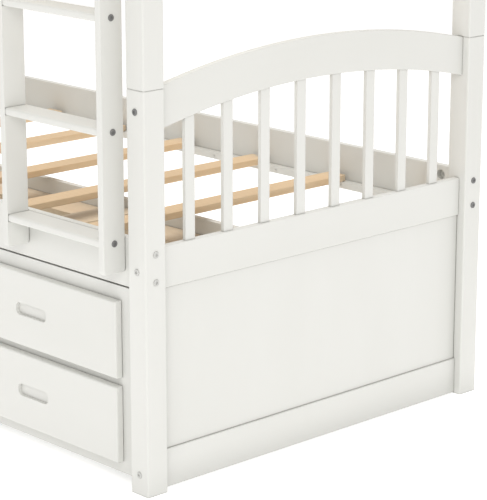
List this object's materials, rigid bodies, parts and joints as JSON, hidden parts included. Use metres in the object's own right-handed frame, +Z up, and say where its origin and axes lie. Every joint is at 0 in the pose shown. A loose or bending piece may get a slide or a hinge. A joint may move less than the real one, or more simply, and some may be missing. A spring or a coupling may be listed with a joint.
{
  "type": "bunk bed with drawers",
  "caption": "Painted bunk bed with arched slatted ends, a side ladder with flat treads, guard boards on the upper bunk and rows of sliding drawers under the lower bunk.",
  "frame": {"origin": "on the floor, under the middle of the whole outline with the ladder", "axes": "+X along the bed to the ladder end, +Y from the ladder side to the rear side, +Z up"},
  "size_m": [2.034, 1.114, 1.834],
  "materials": {
    "white_paint": "satin white paint on wood",
    "bare_pine": "bare planed pine",
    "zinc": "bright zinc plate",
    "black_steel": "blackened steel"
  },
  "bodies": {
    "bed_frame": {"black_bolt_heads": "black_steel", "drawer_runners": "bare_pine", "end_panel_left": "white_paint", "end_panel_right": "white_paint", "face_rails": "white_paint", "face_stiles": "white_paint", "foot_rail_left": "white_paint", "foot_rail_right": "white_paint", "guard_front_high": "white_paint", "guard_front_low": "white_paint", "guard_rear_high": "white_paint", "guard_rear_low": "white_paint", "guard_stiles": "white_paint", "ladder_treads": "white_paint", "ladder_upright_left": "white_paint", "ladder_upright_right": "white_paint", "lower_arch_rail_left": "white_paint", "lower_arch_rail_right": "white_paint", "lower_bed_slats": "bare_pine", "lower_end_rail_left": "white_paint", "lower_end_rail_right": "white_paint", "lower_end_slats": "white_paint", "lower_post_front_left": "white_paint", "lower_post_front_right": "white_paint", "lower_post_rear_left": "white_paint", "lower_post_rear_right": "white_paint", "lower_side_rail_front": "white_paint", "lower_side_rail_rear": "white_paint", "post_pins": "bare_pine", "slat_cleats": "white_paint", "unit_back_board": "white_paint", "unit_dividers": "white_paint", "unit_stretchers": "bare_pine", "upper_arch_rail_left": "white_paint", "upper_arch_rail_right": "white_paint", "upper_bed_slats": "bare_pine", "upper_end_rail_left": "white_paint", "upper_end_rail_right": "white_paint", "upper_end_slats": "white_paint", "upper_post_front_left": "white_paint", "upper_post_front_right": "white_paint", "upper_post_rear_left": "white_paint", "upper_post_rear_right": "white_paint", "upper_side_rail_front": "white_paint", "upper_side_rail_rear": "white_paint", "zinc_bolt_heads": "zinc"},
    "drawer_low_1": {"drawer_front_low_1": "white_paint", "drawer_box_low_1": "white_paint"},
    "drawer_high_1": {"drawer_front_high_1": "white_paint", "drawer_box_high_1": "white_paint"},
    "drawer_low_2": {"drawer_front_low_2": "white_paint", "drawer_box_low_2": "white_paint"},
    "drawer_high_2": {"drawer_front_high_2": "white_paint", "drawer_box_high_2": "white_paint"},
    "drawer_low_3": {"drawer_front_low_3": "white_paint", "drawer_box_low_3": "white_paint"},
    "drawer_high_3": {"drawer_front_high_3": "white_paint", "drawer_box_high_3": "white_paint"}
  },
  "joints": [
    {"name": "drawer_low_1_slide", "type": "slide", "parent": "bed_frame", "child": "drawer_low_1", "axis": [0, -1, 0], "range_m": [0, 0.38]},
    {"name": "drawer_high_1_slide", "type": "slide", "parent": "bed_frame", "child": "drawer_high_1", "axis": [0, -1, 0], "range_m": [0, 0.38]},
    {"name": "drawer_low_2_slide", "type": "slide", "parent": "bed_frame", "child": "drawer_low_2", "axis": [0, -1, 0], "range_m": [0, 0.38]},
    {"name": "drawer_high_2_slide", "type": "slide", "parent": "bed_frame", "child": "drawer_high_2", "axis": [0, -1, 0], "range_m": [0, 0.38]},
    {"name": "drawer_low_3_slide", "type": "slide", "parent": "bed_frame", "child": "drawer_low_3", "axis": [0, -1, 0], "range_m": [0, 0.38]},
    {"name": "drawer_high_3_slide", "type": "slide", "parent": "bed_frame", "child": "drawer_high_3", "axis": [0, -1, 0], "range_m": [0, 0.38]}
  ]
}
